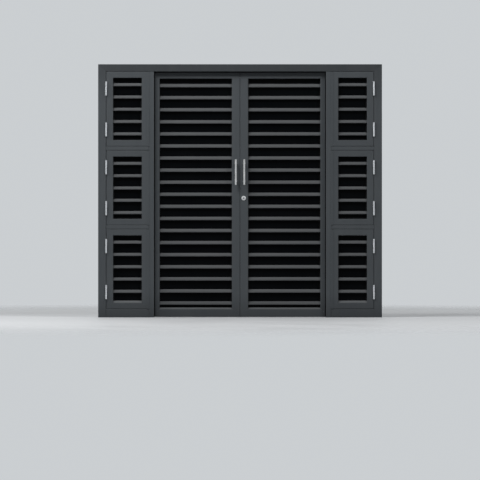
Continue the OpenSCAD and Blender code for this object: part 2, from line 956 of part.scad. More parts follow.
// Round plate with a rounded edge, standing on the XY plane
module rose() {
    edge = arc([rose_d / 2 - rose_r, rose_t - rose_r], rose_r, 0, 5);
    rotate_extrude()
        polygon(concat([[0, 0], [rose_d / 2, 0]], edge, [[0, rose_t]]));
}

// Key cylinder with its rose outside, and the rose of the thumb turn inside
module lock_cylinder() {
    color(stainless) {
        difference() {
            union() {
                translate([lock_x, leaf_front, lock_z])
                    rotate([90, 0, 0])
                        rose();
                rod_y(lock_x, [leaf_front - cylinder_proud, -case_t / 2], lock_z, cylinder_d);
            }
            rod_y(
                lock_x, [leaf_front - cylinder_proud - cut, -case_t / 2 + cut],
                lock_z, plug_d + 2 * pin_play
            );
        }
        difference() {
            translate([lock_x, leaf_back, lock_z])
                rotate([-90, 0, 0])
                    rose();
            rod_y(lock_x, [leaf_back - cut, leaf_back + rose_t + cut], lock_z, shaft_d + 2 * pin_play);
        }
    }
}

// Plug with its keyway, shaft, crank and crank pin
module lock_plug() {
    face_y = leaf_front - cylinder_proud;
    face_back = 0.5;
    keyway_w = 2;
    keyway_h = 8;
    keyway_d = 12;
    color(zinc)
        translate([lock_x, 0, lock_z]) {
            difference() {
                rod_y(0, [face_y + face_back, -case_t / 2 - fit_play], 0, plug_d);
                translate([-keyway_w / 2, face_y, -keyway_h / 2])
                    cube([keyway_w, keyway_d, keyway_h]);
            }
            rod_y(0, [-case_t / 2 - cut, crank_y + crank_t], 0, shaft_d);
            rotate([0, 45, 0]) {
                translate([-crank_pin_d / 2, crank_y, 0])
                    cube([crank_pin_d, crank_t, crank_r]);
                rod_y(0, [deadbolt_y0, crank_y + crank_t], crank_r, crank_pin_d);
            }
        }
}

// Inside turn on the same shaft
module thumb_turn() {
    knob_d = 20;
    knob_t = 6;
    grip_t = 6;
    grip_w = 30;
    grip_d = 16;
    seat = leaf_back + rose_t + slide_play;
    color(stainless)
        translate([lock_x, 0, lock_z]) {
            rod_y(0, [crank_y + crank_t, seat + cut], 0, shaft_d);
            rod_y(0, [seat, seat + knob_t], 0, knob_d);
            translate([-grip_t / 2, seat + knob_t - cut, -grip_w / 2])
                cube([grip_t, grip_d, grip_w]);
        }
}

// Dead bolt, drawn back into the stile, with the notch for the crank pin
module deadbolt() {
    notch_play = 0.8;
    notch_relief = 1;
    notch_h = crank_r + crank_pin_d / 2 + notch_relief - deadbolt_z0;
    notch_w = crank_pin_d + 2 * notch_play;
    color(zinc)
        difference() {
            translate([leaf_x0, deadbolt_y0, lock_z + deadbolt_z0])
                cube([deadbolt_l, deadbolt_t, deadbolt_h]);
            translate([
                lock_x + deadbolt_throw / 2 - notch_w / 2,
                deadbolt_y0 - cut,
                lock_z + deadbolt_z0 - cut
            ])
                cube([notch_w, deadbolt_t + 2 * cut, notch_h + cut]);
        }
}

// Plate let into the edge of the left stile
module strike_plate() {
    color(zinc)
        mirror([1, 0, 0])
            difference() {
                translate([leaf_x0, -forend_w / 2, strike_z[0]])
                    cube([tube_wall, forend_w, strike_z[1] - strike_z[0]]);
                deadbolt_slot(leaf_x0, strike_play);
            }
}

// Flush bolts

// Guide blocks across the hollow of the stile, two to a bolt
module flush_bolt_guides() {
    color(zinc)
        for (end = [0, 1], way = [-1, 1])
            mirror([1, 0, 0])
                leaf_end(end)
                    translate([flush_x, 0, flush_knob_inset - flush_bolt_travel / 2 + way * flush_guide_gap])
                        difference() {
                            cube([flush_guide_w, leaf_d - 2 * tube_wall, flush_guide_h], center = true);
                            cylinder(
                                h = flush_guide_h + 2 * cut, d = flush_bolt_d + 2 * pin_play, center = true
                            );
                        }
}

// Bolt drawn back: its tip just inside the end of the leaf, its knob on the inner face
module flush_bolt(end) {
    tail = flush_knob_inset + flush_guide_gap + flush_tail;
    color(stainless)
        mirror([1, 0, 0])
            leaf_end(end)
                translate([flush_x, 0, 0]) {
                    translate([0, 0, flush_tip_back])
                        cylinder(h = tail - flush_tip_back, d = flush_bolt_d);
                    rod_y(0, [0, leaf_back + cut], flush_knob_inset, flush_pin_d);
                    rod_y(
                        0, [leaf_back + slide_play, leaf_back + flush_knob_l],
                        flush_knob_inset, flush_knob_d
                    );
                }
}

// Nodes

head();
for (side = sides) {
    on_side(side) jamb();
    on_side(side) mullion();
    on_side(side) sill();
}
transoms();
frame_seals();
casement_hinge_pins();
leaf_hinge_pins();
for (side = sides, tier = [0:2]) {
    name = str(tier_names[tier], "_", side, "_casement_");
    on_side(side) casement_frame(tier);
    on_side(side) casement_louvres(tier);
    on_side(side) casement_pane(tier);
    on_side(side) casement_fittings(tier);
    on_side(side) casement_bolt(tier);
}
left_leaf_frame();
right_leaf_frame();
for (side = sides) {
    on_side(side) leaf_louvres();
    on_side(side) leaf_pane();
    on_side(side) leaf_hinge_sleeves();
    on_side(side) pull_handles();
}
strike_plate();
flush_bolt_guides();
flush_bolt(1);  // top_flush_bolt
flush_bolt(0);  // bottom_flush_bolt
lock_case();
lock_cylinder();
lock_plug();
thumb_turn();
deadbolt();
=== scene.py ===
import json
import math

import bmesh
import bpy
from mathutils import Matrix, Vector


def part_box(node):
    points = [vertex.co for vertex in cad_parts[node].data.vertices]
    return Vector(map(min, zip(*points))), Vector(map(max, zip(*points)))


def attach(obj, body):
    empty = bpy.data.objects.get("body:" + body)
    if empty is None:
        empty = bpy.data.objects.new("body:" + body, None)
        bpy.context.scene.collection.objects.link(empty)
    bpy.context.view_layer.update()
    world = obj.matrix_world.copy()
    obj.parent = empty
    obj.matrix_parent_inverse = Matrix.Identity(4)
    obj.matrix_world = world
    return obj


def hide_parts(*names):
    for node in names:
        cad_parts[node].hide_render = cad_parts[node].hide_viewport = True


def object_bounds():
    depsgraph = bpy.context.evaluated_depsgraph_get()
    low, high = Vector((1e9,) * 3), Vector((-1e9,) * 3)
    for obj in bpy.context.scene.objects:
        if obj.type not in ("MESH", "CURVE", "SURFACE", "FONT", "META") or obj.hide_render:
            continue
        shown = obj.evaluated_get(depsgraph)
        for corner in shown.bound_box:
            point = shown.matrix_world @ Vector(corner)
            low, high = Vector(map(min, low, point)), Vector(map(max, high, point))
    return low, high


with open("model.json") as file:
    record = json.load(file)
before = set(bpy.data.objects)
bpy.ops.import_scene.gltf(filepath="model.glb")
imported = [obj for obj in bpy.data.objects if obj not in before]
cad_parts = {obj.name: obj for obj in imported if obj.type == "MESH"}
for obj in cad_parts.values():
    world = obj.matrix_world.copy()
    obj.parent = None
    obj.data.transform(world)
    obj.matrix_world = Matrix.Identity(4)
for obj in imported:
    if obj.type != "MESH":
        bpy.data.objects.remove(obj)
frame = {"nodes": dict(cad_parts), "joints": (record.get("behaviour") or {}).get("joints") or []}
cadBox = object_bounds()  # lowest and highest corner, in metres like the sizes of the pieces

tiers = ["upper", "middle", "lower"]
sides = ["left", "right"]
casements = [f"{tier}_{side}_casement" for side in sides for tier in tiers]
leaves = [f"{side}_leaf" for side in sides]
louvredBodies = leaves + casements


def kindOf(body):
    return "leaf" if body in leaves else "casement"


def sideOf(body):
    return -1.0 if "left" in body else 1.0


# shader helpers

noiseBand = (0.3, 0.7)  # nearly all values of a noise texture lie in here


def startMaterial(name):
    material = bpy.data.materials.new(name)
    material.use_nodes = True
    nodes = material.node_tree.nodes
    shader = nodes["Principled BSDF"]
    place = nodes.new("ShaderNodeTexCoord").outputs["Object"]
    return material, material.node_tree, shader, place


def stretched(tree, place, scale):
    mapping = tree.nodes.new("ShaderNodeMapping")
    mapping.inputs["Scale"].default_value = scale
    tree.links.new(place, mapping.inputs["Vector"])
    return mapping.outputs["Vector"]


def noise(tree, place, scale, detail):
    texture = tree.nodes.new("ShaderNodeTexNoise")
    texture.inputs["Scale"].default_value = scale
    texture.inputs["Detail"].default_value = detail
    tree.links.new(place, texture.inputs["Vector"])
    return texture.outputs["Fac"]


def remap(tree, value, source, target, smooth=False):
    node = tree.nodes.new("ShaderNodeMapRange")
    if smooth:
        node.interpolation_type = "SMOOTHSTEP"
    for socket, limit in zip(("From Min", "From Max", "To Min", "To Max"), (*source, *target)):
        node.inputs[socket].default_value = limit
    tree.links.new(value, node.inputs["Value"])
    return node.outputs["Result"]


def spread(tree, value, low, high):
    return remap(tree, value, noiseBand, (low, high))


def axesOf(tree, place):
    axes = tree.nodes.new("ShaderNodeSeparateXYZ")
    tree.links.new(place, axes.inputs["Vector"])
    return axes.outputs


def mathNode(tree, operation, first, second=None):
    node = tree.nodes.new("ShaderNodeMath")
    node.operation = operation
    for socket, value in zip(node.inputs, (first, second)):
        if value is None:
            continue
        if isinstance(value, (int, float)):
            socket.default_value = value
        else:
            tree.links.new(value, socket)
    return node.outputs["Value"]


def mixColour(tree, factor, first, second):
    mix = tree.nodes.new("ShaderNodeMix")
    mix.data_type = "RGBA"
    tree.links.new(factor, mix.inputs["Factor"])
    for name, value in (("A", first), ("B", second)):
        socket = next(s for s in mix.inputs if s.name == name and s.type == "RGBA")
        if isinstance(value, tuple):
            socket.default_value = (*value, 1.0)
        else:
            tree.links.new(value, socket)
    return next(s for s in mix.outputs if s.type == "RGBA")


def bump(tree, shader, height, distance, strength):
    node = tree.nodes.new("ShaderNodeBump")
    node.inputs["Distance"].default_value = distance
    node.inputs["Strength"].default_value = strength
    tree.links.new(height, node.inputs["Height"])
    tree.links.new(node.outputs["Normal"], shader.inputs["Normal"])


def scaled(colour, factor):
    return tuple(channel * factor for channel in colour)


# powder coat: satin with a fine orange peel, with painted shade towards the foot and, on the jambs, towards
# the top

paint = {
    "colour": (0.050, 0.056, 0.061),
    "specular": 0.16,
    "roughness": (0.40, 0.50),
    # painted shade: from this height down to the foot the coat darkens, to the share given next
    "footShadeTop": 0.20,
    "footShadeTone": 0.66,
    "cloudScale": 2.6,
    "cloudDetail": 4.0,
    "cloudDepth": 0.05,
    "streakScale": (26.0, 26.0, 1.6),
    "streakDetail": 3.0,
    "dustKeeps": 0.94,  # share of the colour left under dust
    "dustAdds": 0.012,
    "dustCover": 0.35,
    "peelScale": 520.0,
    "peelDetail": 2.0,
    "peelHeight": 0.00005,
    "peelStrength": 0.35,
    # painted shade: the head's colour is darkened to this share
    "headShadeTone": 0.63,
}

# painted shade: the head is painted darker than the rest of the frame
shadedHeadCoat = {**paint, "colour": scaled(paint["colour"], paint["headShadeTone"])}
# painted shade on the upper jambs: both lengths go down from the top of the window, to where the shade
# starts and to where it is deepest
shadedJambCoat = {**paint, "shadeReach": 0.34, "shadeFull": 0.06, "shadeTone": 0.75}
bladeCoat = {**paint, "colour": (0.063, 0.066, 0.069), "specular": 0.06, "roughness": (0.64, 0.76)}

# the weather bars are folded from the blades' sheet, and their slope gets a pale colour as a painted
# highlight where light from above falls on it
barHighlight = {
    "colour": (0.092, 0.097, 0.101),
    "leafHeight": 0.0142,
    "casementHeight": 0.0182,
    "paneClear": 0.002,
    "stopDepth": 0.003,
}


def inside(tree, place, low, high):
    # 1 inside the box and its mirror image on the left, 0 elsewhere
    axes = axesOf(tree, place)
    sources = (mathNode(tree, "ABSOLUTE", axes["X"]), axes["Y"], axes["Z"])
    mask = 1.0
    for source, start, end in zip(sources, low, high):
        for operation, limit in (("GREATER_THAN", start), ("LESS_THAN", end)):
            mask = mathNode(tree, "MULTIPLY", mathNode(tree, operation, source, limit), mask)
    return mask


def barBox(body, height):
    low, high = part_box(f"{body}_pane")
    clear = barHighlight["paneClear"]
    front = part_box(f"{body}_frame")[0].y
    foot = low.z - clear
    return (low.x - clear, front, foot), (high.x + clear, low.y - barHighlight["stopDepth"], foot + height)


def powderCoat(name, settings, bar=None):
    material, tree, shader, place = startMaterial(name)
    colour = settings["colour"]
    cloud = noise(tree, place, settings["cloudScale"], settings["cloudDetail"])
    deep = scaled(colour, 1 - settings["cloudDepth"])
    pale = scaled(colour, 1 + settings["cloudDepth"])
    broad = mixColour(tree, spread(tree, cloud, 0.0, 1.0), deep, pale)
    streak = noise(tree, stretched(tree, place, settings["streakScale"]), 1.0, settings["streakDetail"])
    dusty = tuple(settings["dustKeeps"] * channel + settings["dustAdds"] for channel in colour)
    streaked = mixColour(tree, spread(tree, streak, 0.0, settings["dustCover"]), broad, dusty)
    if bar:
        # painted highlight: the weather bar's slope turns pale
        streaked = mixColour(tree, inside(tree, place, *bar), streaked, barHighlight["colour"])
    height = axesOf(tree, place)["Z"]
    # painted shade: the coat darkens towards the foot of the window
    tone = remap(tree, height, (0.0, settings["footShadeTop"]), (settings["footShadeTone"], 1.0))
    # painted shade: the jambs darken towards the top of the window
    if "shadeTone" in settings:
        top = cadBox[1].z
        upper = (top - settings["shadeReach"], top - settings["shadeFull"])
        tone = mathNode(tree, "MULTIPLY", tone, remap(tree, height, upper, (1.0, settings["shadeTone"])))
    # the colour is scaled by the painted shade at the foot and at the top
    shaded = tree.nodes.new("ShaderNodeVectorMath")
    shaded.operation = "SCALE"
    tree.links.new(streaked, shaded.inputs[0])
    tree.links.new(tone, shaded.inputs["Scale"])
    tree.links.new(shaded.outputs["Vector"], shader.inputs["Base Color"])
    tree.links.new(spread(tree, streak, *settings["roughness"]), shader.inputs["Roughness"])
    shader.inputs["Specular IOR Level"].default_value = settings["specular"]
    peel = noise(tree, place, settings["peelScale"], settings["peelDetail"])
    bump(tree, shader, peel, settings["peelHeight"], settings["peelStrength"])
    return material


# bright metals: zinc-plated hinges and works, satin stainless pulls

zinc = {
    "colour": (0.72, 0.73, 0.75),
    "spangle": 0.10,
    "spangleScale": 140.0,
    "spangleDetail": 2.0,
    "roughness": (0.24, 0.40),
    "barrelRadius": 0.0073,
    "tangReach": 0.020,
}

plugMetal = {
    "colour": (0.16, 0.16, 0.165),
    "spangle": 0.12,
    "spangleScale": 900.0,
    "spangleDetail": 2.0,
    "roughness": (0.38, 0.50),
}

stainless = {
    "colour": (0.68, 0.68, 0.67),
    "grain": (900.0, 900.0, 22.0),
    "grainDetail": 2.0,
    "grainTone": (0.92, 1.06),
    "grainHeight": 0.00002,
    "grainStrength": 0.25,
    "roughness": (0.22, 0.34),
}

satin = {**stainless, "colour": (0.565, 0.57, 0.575), "roughness": (0.46, 0.56)}


def zincPlate(name, settings, hingeX=None):
    material, tree, shader, place = startMaterial(name)
    colour = settings["colour"]
    spangle = noise(tree, place, settings["spangleScale"], settings["spangleDetail"])
    deep = scaled(colour, 1 - settings["spangle"])
    pale = scaled(colour, 1 + settings["spangle"])
    plate = mixColour(tree, spread(tree, spangle, 0.0, 1.0), deep, pale)
    rough = spread(tree, spangle, *settings["roughness"])
    if hingeX is None:
        shader.inputs["Metallic"].default_value = 1.0
        tree.links.new(plate, shader.inputs["Base Color"])
        tree.links.new(rough, shader.inputs["Roughness"])
    else:
        # the weld tangs beside the barrel are painted over with the frame
        fromMiddle = mathNode(tree, "ABSOLUTE", axesOf(tree, place)["X"])
        aside = mathNode(tree, "ABSOLUTE", mathNode(tree, "SUBTRACT", fromMiddle, hingeX))
        beyond = mathNode(tree, "GREATER_THAN", aside, settings["barrelRadius"])
        within = mathNode(tree, "LESS_THAN", aside, settings["tangReach"])
        painted = mathNode(tree, "MULTIPLY", beyond, within)
        bare = mathNode(tree, "SUBTRACT", 1.0, painted)
        tree.links.new(mixColour(tree, painted, plate, paint["colour"]), shader.inputs["Base Color"])
        tree.links.new(bare, shader.inputs["Metallic"])
        coat = mathNode(tree, "MULTIPLY", painted, paint["roughness"][0])
        tree.links.new(mathNode(tree, "MAXIMUM", rough, coat), shader.inputs["Roughness"])
    return material


def brushedStainless(name, settings):
    material, tree, shader, place = startMaterial(name)
    grain = noise(tree, stretched(tree, place, settings["grain"]), 1.0, settings["grainDetail"])
    deep, pale = (scaled(settings["colour"], tone) for tone in settings["grainTone"])
    tree.links.new(mixColour(tree, spread(tree, grain, 0.0, 1.0), deep, pale), shader.inputs["Base Color"])
    tree.links.new(spread(tree, grain, *settings["roughness"]), shader.inputs["Roughness"])
    shader.inputs["Metallic"].default_value = 1.0
    bump(tree, shader, grain, settings["grainHeight"], settings["grainStrength"])
    return material


# dark pane and black rubber

pane = {
    "colour": (0.0012, 0.0016, 0.0021),
    "haze": 0.0008,
    "hazeScale": 3.0,
    "hazeDetail": 4.0,
    "specular": 0.02,
    "roughness": (0.10, 0.22),
}

rubber = {
    "colour": (0.012, 0.012, 0.013),
    "specular": 0.30,
    "roughness": (0.62, 0.80),
    "grainScale": 700.0,
    "grainDetail": 2.0,
    "grainTone": (0.8, 1.3),
    "grainHeight": 0.00006,
    "grainStrength": 0.4,
}

# painted shade: rubber far darker than real rubber, for the glazing channels and the bulb seal in the
# shaded recesses
shadeBlack = {**rubber, "colour": (0.003, 0.003, 0.0033), "specular": 0.06}


def darkGlass(name, settings):
    material, tree, shader, place = startMaterial(name)
    haze = noise(tree, place, settings["hazeScale"], settings["hazeDetail"])
    hazed = tuple(channel + settings["haze"] for channel in settings["colour"])
    tone = mixColour(tree, spread(tree, haze, 0.0, 1.0), settings["colour"], hazed)
    tree.links.new(tone, shader.inputs["Base Color"])
    tree.links.new(spread(tree, haze, *settings["roughness"]), shader.inputs["Roughness"])
    shader.inputs["Specular IOR Level"].default_value = settings["specular"]
    return material


def blackRubber(name, settings):
    material, tree, shader, place = startMaterial(name)
    grain = noise(tree, place, settings["grainScale"], settings["grainDetail"])
    deep, pale = (scaled(settings["colour"], tone) for tone in settings["grainTone"])
    tree.links.new(mixColour(tree, grain, deep, pale), shader.inputs["Base Color"])
    tree.links.new(spread(tree, grain, *settings["roughness"]), shader.inputs["Roughness"])
    shader.inputs["Specular IOR Level"].default_value = settings["specular"]
    bump(tree, shader, grain, settings["grainHeight"], settings["grainStrength"])
    return material


def hingeAxisX(joint):
    return abs(next(j for j in frame["joints"] if j["name"] == joint)["pos_m"][0])


framePaint = powderCoat("framePaint", paint)
# painted highlight on the weather bars of the leaves and the lower casements
leafPaint = powderCoat("leafPaint", paint, barBox("right_leaf", barHighlight["leafHeight"]))
lowerPaint = powderCoat("lowerPaint", paint, barBox("lower_right_casement", barHighlight["casementHeight"]))
shadedHeadPaint = powderCoat("shadedHeadPaint", shadedHeadCoat)
shadedJambPaint = powderCoat("shadedJambPaint", shadedJambCoat)
bladePaint = powderCoat("bladePaint", bladeCoat)
worksZinc = zincPlate("worksZinc", zinc)
lockMetal = zincPlate("lockMetal", plugMetal)
casementHingeX = hingeAxisX("upper_right_casement_swing")
leafHingeX = hingeAxisX("right_leaf_swing")
casementHingeZinc = zincPlate("casementHingeZinc", zinc, casementHingeX)
leafHingeZinc = zincPlate("leafHingeZinc", zinc, leafHingeX)
pullStainless = brushedStainless("pullStainless", stainless)
roseSatin = brushedStainless("roseSatin", satin)
paneGlass = darkGlass("paneGlass", pane)
sealRubber = blackRubber("sealRubber", rubber)
shadeBlackRubber = blackRubber("shadeBlackRubber", shadeBlack)


def finishOf(node):
    if node == "head":
        return shadedHeadPaint
    if node.endswith("_jamb"):
        return shadedJambPaint
    if node.endswith("_leaf_frame"):
        return leafPaint
    if node.startswith("lower_") and node.endswith("_frame"):
        return lowerPaint
    if node.endswith("_pane"):
        return paneGlass
    if node == "frame_seals":
        return sealRubber
    if node == "casement_hinge_pins" or node.endswith("_fittings"):
        return casementHingeZinc
    if node == "leaf_hinge_pins" or node.endswith("_hinge_sleeves"):
        return leafHingeZinc
    if node in ("lock_cylinder", "thumb_turn"):
        return roseSatin
    if node.endswith(("_pull_handles", "_bolt")):
        return pullStainless
    if node == "lock_plug":
        return lockMetal
    if node in ("strike_plate", "flush_bolt_guides", "lock_case", "deadbolt"):
        return worksZinc
    return framePaint


for nodeName, nodeObject in frame["nodes"].items():
    for materialSlot in nodeObject.material_slots:
        materialSlot.material = finishOf(nodeName)
print("finishes set on", len(frame["nodes"]), "nodes")


# helpers for Geometry Nodes and for meshes


def startTree(name, inputs):
    tree = bpy.data.node_groups.new(name, "GeometryNodeTree")
    tree.interface.new_socket("Geometry", in_out="INPUT", socket_type="NodeSocketGeometry")
    sockets = {}
    for label, kind in inputs:
        sockets[label] = tree.interface.new_socket(label, in_out="INPUT", socket_type=kind).identifier
    tree.interface.new_socket("Geometry", in_out="OUTPUT", socket_type="NodeSocketGeometry")
    source = tree.nodes.new("NodeGroupInput")
    return tree, source.outputs, sockets


def addNode(tree, kind, links=None, **settings):
    node = tree.nodes.new(kind)
    for name, value in settings.items():
        setattr(node, name, value)
    for socket, value in (links or {}).items():
        if isinstance(value, bpy.types.NodeSocket):
            tree.links.new(value, node.inputs[socket])
        else:
            node.inputs[socket].default_value = value
    return node


def randomVector(tree, seed, low, high):
    node = addNode(tree, "FunctionNodeRandomValue", {"Seed": seed}, data_type="FLOAT_VECTOR")
    node.inputs["Min"].default_value = low
    node.inputs["Max"].default_value = high
    return node.outputs["Value"]


def endTree(tree, geometry, material):
    realized = addNode(tree, "GeometryNodeRealizeInstances", {"Geometry": geometry})
    painted = addNode(
        tree, "GeometryNodeSetMaterial", {"Geometry": realized.outputs[0], "Material": material}
    )
    sink = tree.nodes.new("NodeGroupOutput")
    tree.links.new(painted.outputs[0], sink.inputs[0])


def grow(name, mesh, treeAndSockets, values, body):
    piece = bpy.data.objects.new(name, mesh)
    bpy.context.scene.collection.objects.link(piece)
    tree, sockets = treeAndSockets
    modifier = piece.modifiers.new("grow", "NODES")
    modifier.node_group = tree
    for label, value in values.items():
        modifier[sockets[label]] = value
    graph = bpy.context.evaluated_depsgraph_get()
    grown = bpy.data.meshes.new_from_object(piece.evaluated_get(graph), depsgraph=graph)
    piece.modifiers.clear()
    piece.data = grown
    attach(piece, body)
    return piece


def meshOf(name, work, sharpAngle=40.0):
    bmesh.ops.recalc_face_normals(work, faces=work.faces)
    mesh = bpy.data.meshes.new(name)
    work.to_mesh(mesh)
    work.free()
    mesh.shade_smooth()
    mesh.set_sharp_from_angle(angle=math.radians(sharpAngle))
    return mesh


def skin(work, rings):
    for first, second in zip(rings, rings[1:]):
        for i in range(len(first)):
            j = (i + 1) % len(first)
            work.faces.new((first[i], first[j], second[j], second[i]))
    for end in (rings[0], rings[-1]):
        work.faces.new(end)


def fit(name, mesh, material, body):
    piece = bpy.data.objects.new(name, mesh)
    bpy.context.scene.collection.objects.link(piece)
    mesh.materials.append(material)
    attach(piece, body)


# one blade repeated down an opening, with a weld tack at each end


def makeLadder():
    tree, source, sockets = startTree(
        "repeatDown",
        [("Count", "NodeSocketInt"), ("Pitch", "NodeSocketFloat"), ("Material", "NodeSocketMaterial")],
    )
    drop = addNode(tree, "ShaderNodeMath", {0: source["Pitch"], 1: -1.0}, operation="MULTIPLY")
    step = addNode(tree, "ShaderNodeCombineXYZ", {"Z": drop.outputs[0]})
    line = addNode(tree, "GeometryNodeMeshLine", {"Count": source["Count"], "Offset": step.outputs[0]})
    copies = addNode(
        tree, "GeometryNodeInstanceOnPoints", {"Points": line.outputs[0], "Instance": source["Geometry"]}
    )
    endTree(tree, copies.outputs[0], source["Material"])
    return tree, sockets


blade = {
    "leafHeight": 0.029,
    "casementHeight": 0.026,
    "lip": 0.008,
    "run": 0.013,
    "fold": 0.004,
    "sheet": 0.0015,
    "bendSteps": 5,
    "leafCount": 19,
    "casementCount": 5,
    "tackLength": 0.016,
    "tackWidth": 0.0032,
    "tackThickness": 0.0026,
    "tackPlace": 0.45,  # share of the slope
    "tackSegments": 10,
    "tackRings": 6,
}


def bladePath(height, settings):
    half = settings["sheet"] / 2
    top = height - half
    back = half + settings["run"]
    return [
        Vector((settings["fold"], half)),
        Vector((half, half)),
        Vector((half, settings["lip"])),
        Vector((back, top)),
        Vector((back + settings["fold"], top)),
    ]


def softened(path, reach, steps):
    # each bend turns into a short curve
    points = [path[0]]
    for before, bend, after in zip(path, path[1:], path[2:]):
        start = bend + (before - bend).normalized() * reach
        end = bend + (after - bend).normalized() * reach
        for i in range(steps + 1):
            s = i / steps
            points.append(start * (1 - s) ** 2 + bend * (2 * s * (1 - s)) + end * s ** 2)
    return points + [path[-1]]


def beside(path, distance):
    # the path moved sideways, mitred at its corners
    moved = []
    for i, point in enumerate(path):
        into = (point - path[i - 1] if i else path[1] - point).normalized()
        out = (path[i + 1] - point if i < len(path) - 1 else point - path[i - 1]).normalized()
        across = Vector((-into.y, into.x)) + Vector((-out.y, out.x))
        moved.append(point + across * (2 * distance / across.length_squared))
    return moved


def bladeMesh(name, left, right, front, foot, height, settings):
    path = softened(bladePath(height, settings), settings["sheet"], settings["bendSteps"])
    rims = [beside(path, settings["sheet"] / 2), beside(path, -settings["sheet"] / 2)]
    work = bmesh.new()
    ends = [
        [[work.verts.new((x, front + p.x, foot + p.y)) for p in rim] for rim in rims]
        for x in (left, right)
    ]
    last = len(path) - 1
    for i in range(last):
        for rim in (0, 1):
            work.faces.new((ends[0][rim][i], ends[0][rim][i + 1], ends[1][rim][i + 1], ends[1][rim][i]))
        for end in ends:
            work.faces.new((end[0][i], end[0][i + 1], end[1][i + 1], end[1][i]))
    for i in (0, last):
        work.faces.new((ends[0][0][i], ends[0][1][i], ends[1][1][i], ends[1][0][i]))
    return meshOf(name, work)


def tackMesh(name, left, right, front, foot, height, settings):
    path = bladePath(height, settings)
    slope = path[3] - path[2]
    middle = path[2] + slope * settings["tackPlace"]
    lift = Vector((-slope.y, slope.x)).normalized() * (settings["sheet"] / 2)  # up to the sheet's face
    work = bmesh.new()
    size = Matrix.Diagonal((settings["tackWidth"], settings["tackLength"], settings["tackThickness"], 1.0))
    lean = Matrix.Rotation(math.atan2(slope.y, slope.x), 4, "X")
    for x in (left, right):
        spot = Vector((x, front + middle.x + lift.x, foot + middle.y + lift.y))
        bmesh.ops.create_uvsphere(
            work,
            u_segments=settings["tackSegments"],
            v_segments=settings["tackRings"],
            radius=0.5,
            matrix=Matrix.Translation(spot) @ lean @ size,
        )
    return meshOf(name, work, sharpAngle=80.0)


ladder = makeLadder()
for body in louvredBodies:
    low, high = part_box(f"{body}_louvres")
    count, height = blade[f"{kindOf(body)}Count"], blade[f"{kindOf(body)}Height"]
    pitch = (high.z - low.z - height) / (count - 1)
    foot = high.z - height
    values = {"Count": count, "Pitch": pitch, "Material": bladePaint}
    blades = bladeMesh(f"{body}_blade", low.x, high.x, low.y, foot, height, blade)
    piece = grow(f"{body}_blades", blades, ladder, values, body)
    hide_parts(f"{body}_louvres")
    tacks = tackMesh(f"{body}_tack", low.x, high.x, low.y, foot, height, blade)
    grow(f"{body}_blade_welds", tacks, ladder, values, body)
print("blades:", len(leaves) * blade["leafCount"] + len(casements) * blade["casementCount"])


# screws in the glazing beads, with a six-sided socket

screwHead = {
    "crown": ((1.0, 0.0), (1.0, 0.45), (0.92, 0.75), (0.74, 1.0)),  # shares of the head's radius and height
    "socketRim": 0.98,
    "socketFloor": 0.25,
    "socketSide": 60.0,  # degrees that one side takes up
    "segments": 18,
}

beadScrew = {
    **screwHead,
    "headRadius": 0.0038,
    "headHeight": 0.0016,
    "socket": 0.0016,
    "beadMiddle": 0.003,
    "beadThickness": 0.004,
    "cornerGap": 0.035,
    "leafAcross": 4,
    "leafUp": 9,
    "casementAcross": 2,
    "casementUp": 3,
    "turnSeed": 7,
}


def makeScrewRing():
    tree, source, sockets = startTree(
        "screwRing",
        [
            ("Half width", "NodeSocketFloat"),
            ("Half height", "NodeSocketFloat"),
            ("Corner gap", "NodeSocketFloat"),
            ("Across", "NodeSocketInt"),
            ("Up", "NodeSocketInt"),
            ("Middle", "NodeSocketVector"),
            ("Material", "NodeSocketMaterial"),
        ],
    )

    def reckon(operation, first, second):
        return addNode(tree, "ShaderNodeMath", {0: first, 1: second}, operation=operation).outputs[0]

    def less(value):
        return reckon("SUBTRACT", value, source["Corner gap"])

    def minus(value):
        return reckon("MULTIPLY", value, -1.0)

    def corner(x, z):
        return addNode(tree, "ShaderNodeCombineXYZ", {"X": x, "Z": z}).outputs[0]

    def row(count, start, end):
        ends = {"Count": count, "Start Location": start, "Offset": end}
        return addNode(tree, "GeometryNodeMeshLine", ends, mode="END_POINTS").outputs[0]

    width, height = source["Half width"], source["Half height"]
    shortX, shortZ = less(width), less(height)
    level = row(source["Across"], corner(minus(shortX), height), corner(shortX, height))
    upright = row(source["Up"], corner(minus(width), minus(shortZ)), corner(minus(width), shortZ))
    below = addNode(tree, "GeometryNodeTransform", {"Geometry": level, "Scale": (1.0, 1.0, -1.0)})
    beyond = addNode(tree, "GeometryNodeTransform", {"Geometry": upright, "Scale": (-1.0, 1.0, 1.0)})
    joined = tree.nodes.new("GeometryNodeJoinGeometry")
    for part in (level, below.outputs[0], upright, beyond.outputs[0]):
        tree.links.new(part, joined.inputs[0])
    furthest = (0.0, math.radians(beadScrew["socketSide"]), 0.0)  # each socket stops at its own angle
    turn = randomVector(tree, beadScrew["turnSeed"], (0.0, 0.0, 0.0), furthest)
    screws = addNode(
        tree,
        "GeometryNodeInstanceOnPoints",
        {"Points": joined.outputs[0], "Instance": source["Geometry"], "Rotation": turn},
    )
    placed = addNode(
        tree, "GeometryNodeTransform", {"Geometry": screws.outputs[0], "Translation": source["Middle"]}
    )
    endTree(tree, placed.outputs[0], source["Material"])
    return tree, sockets


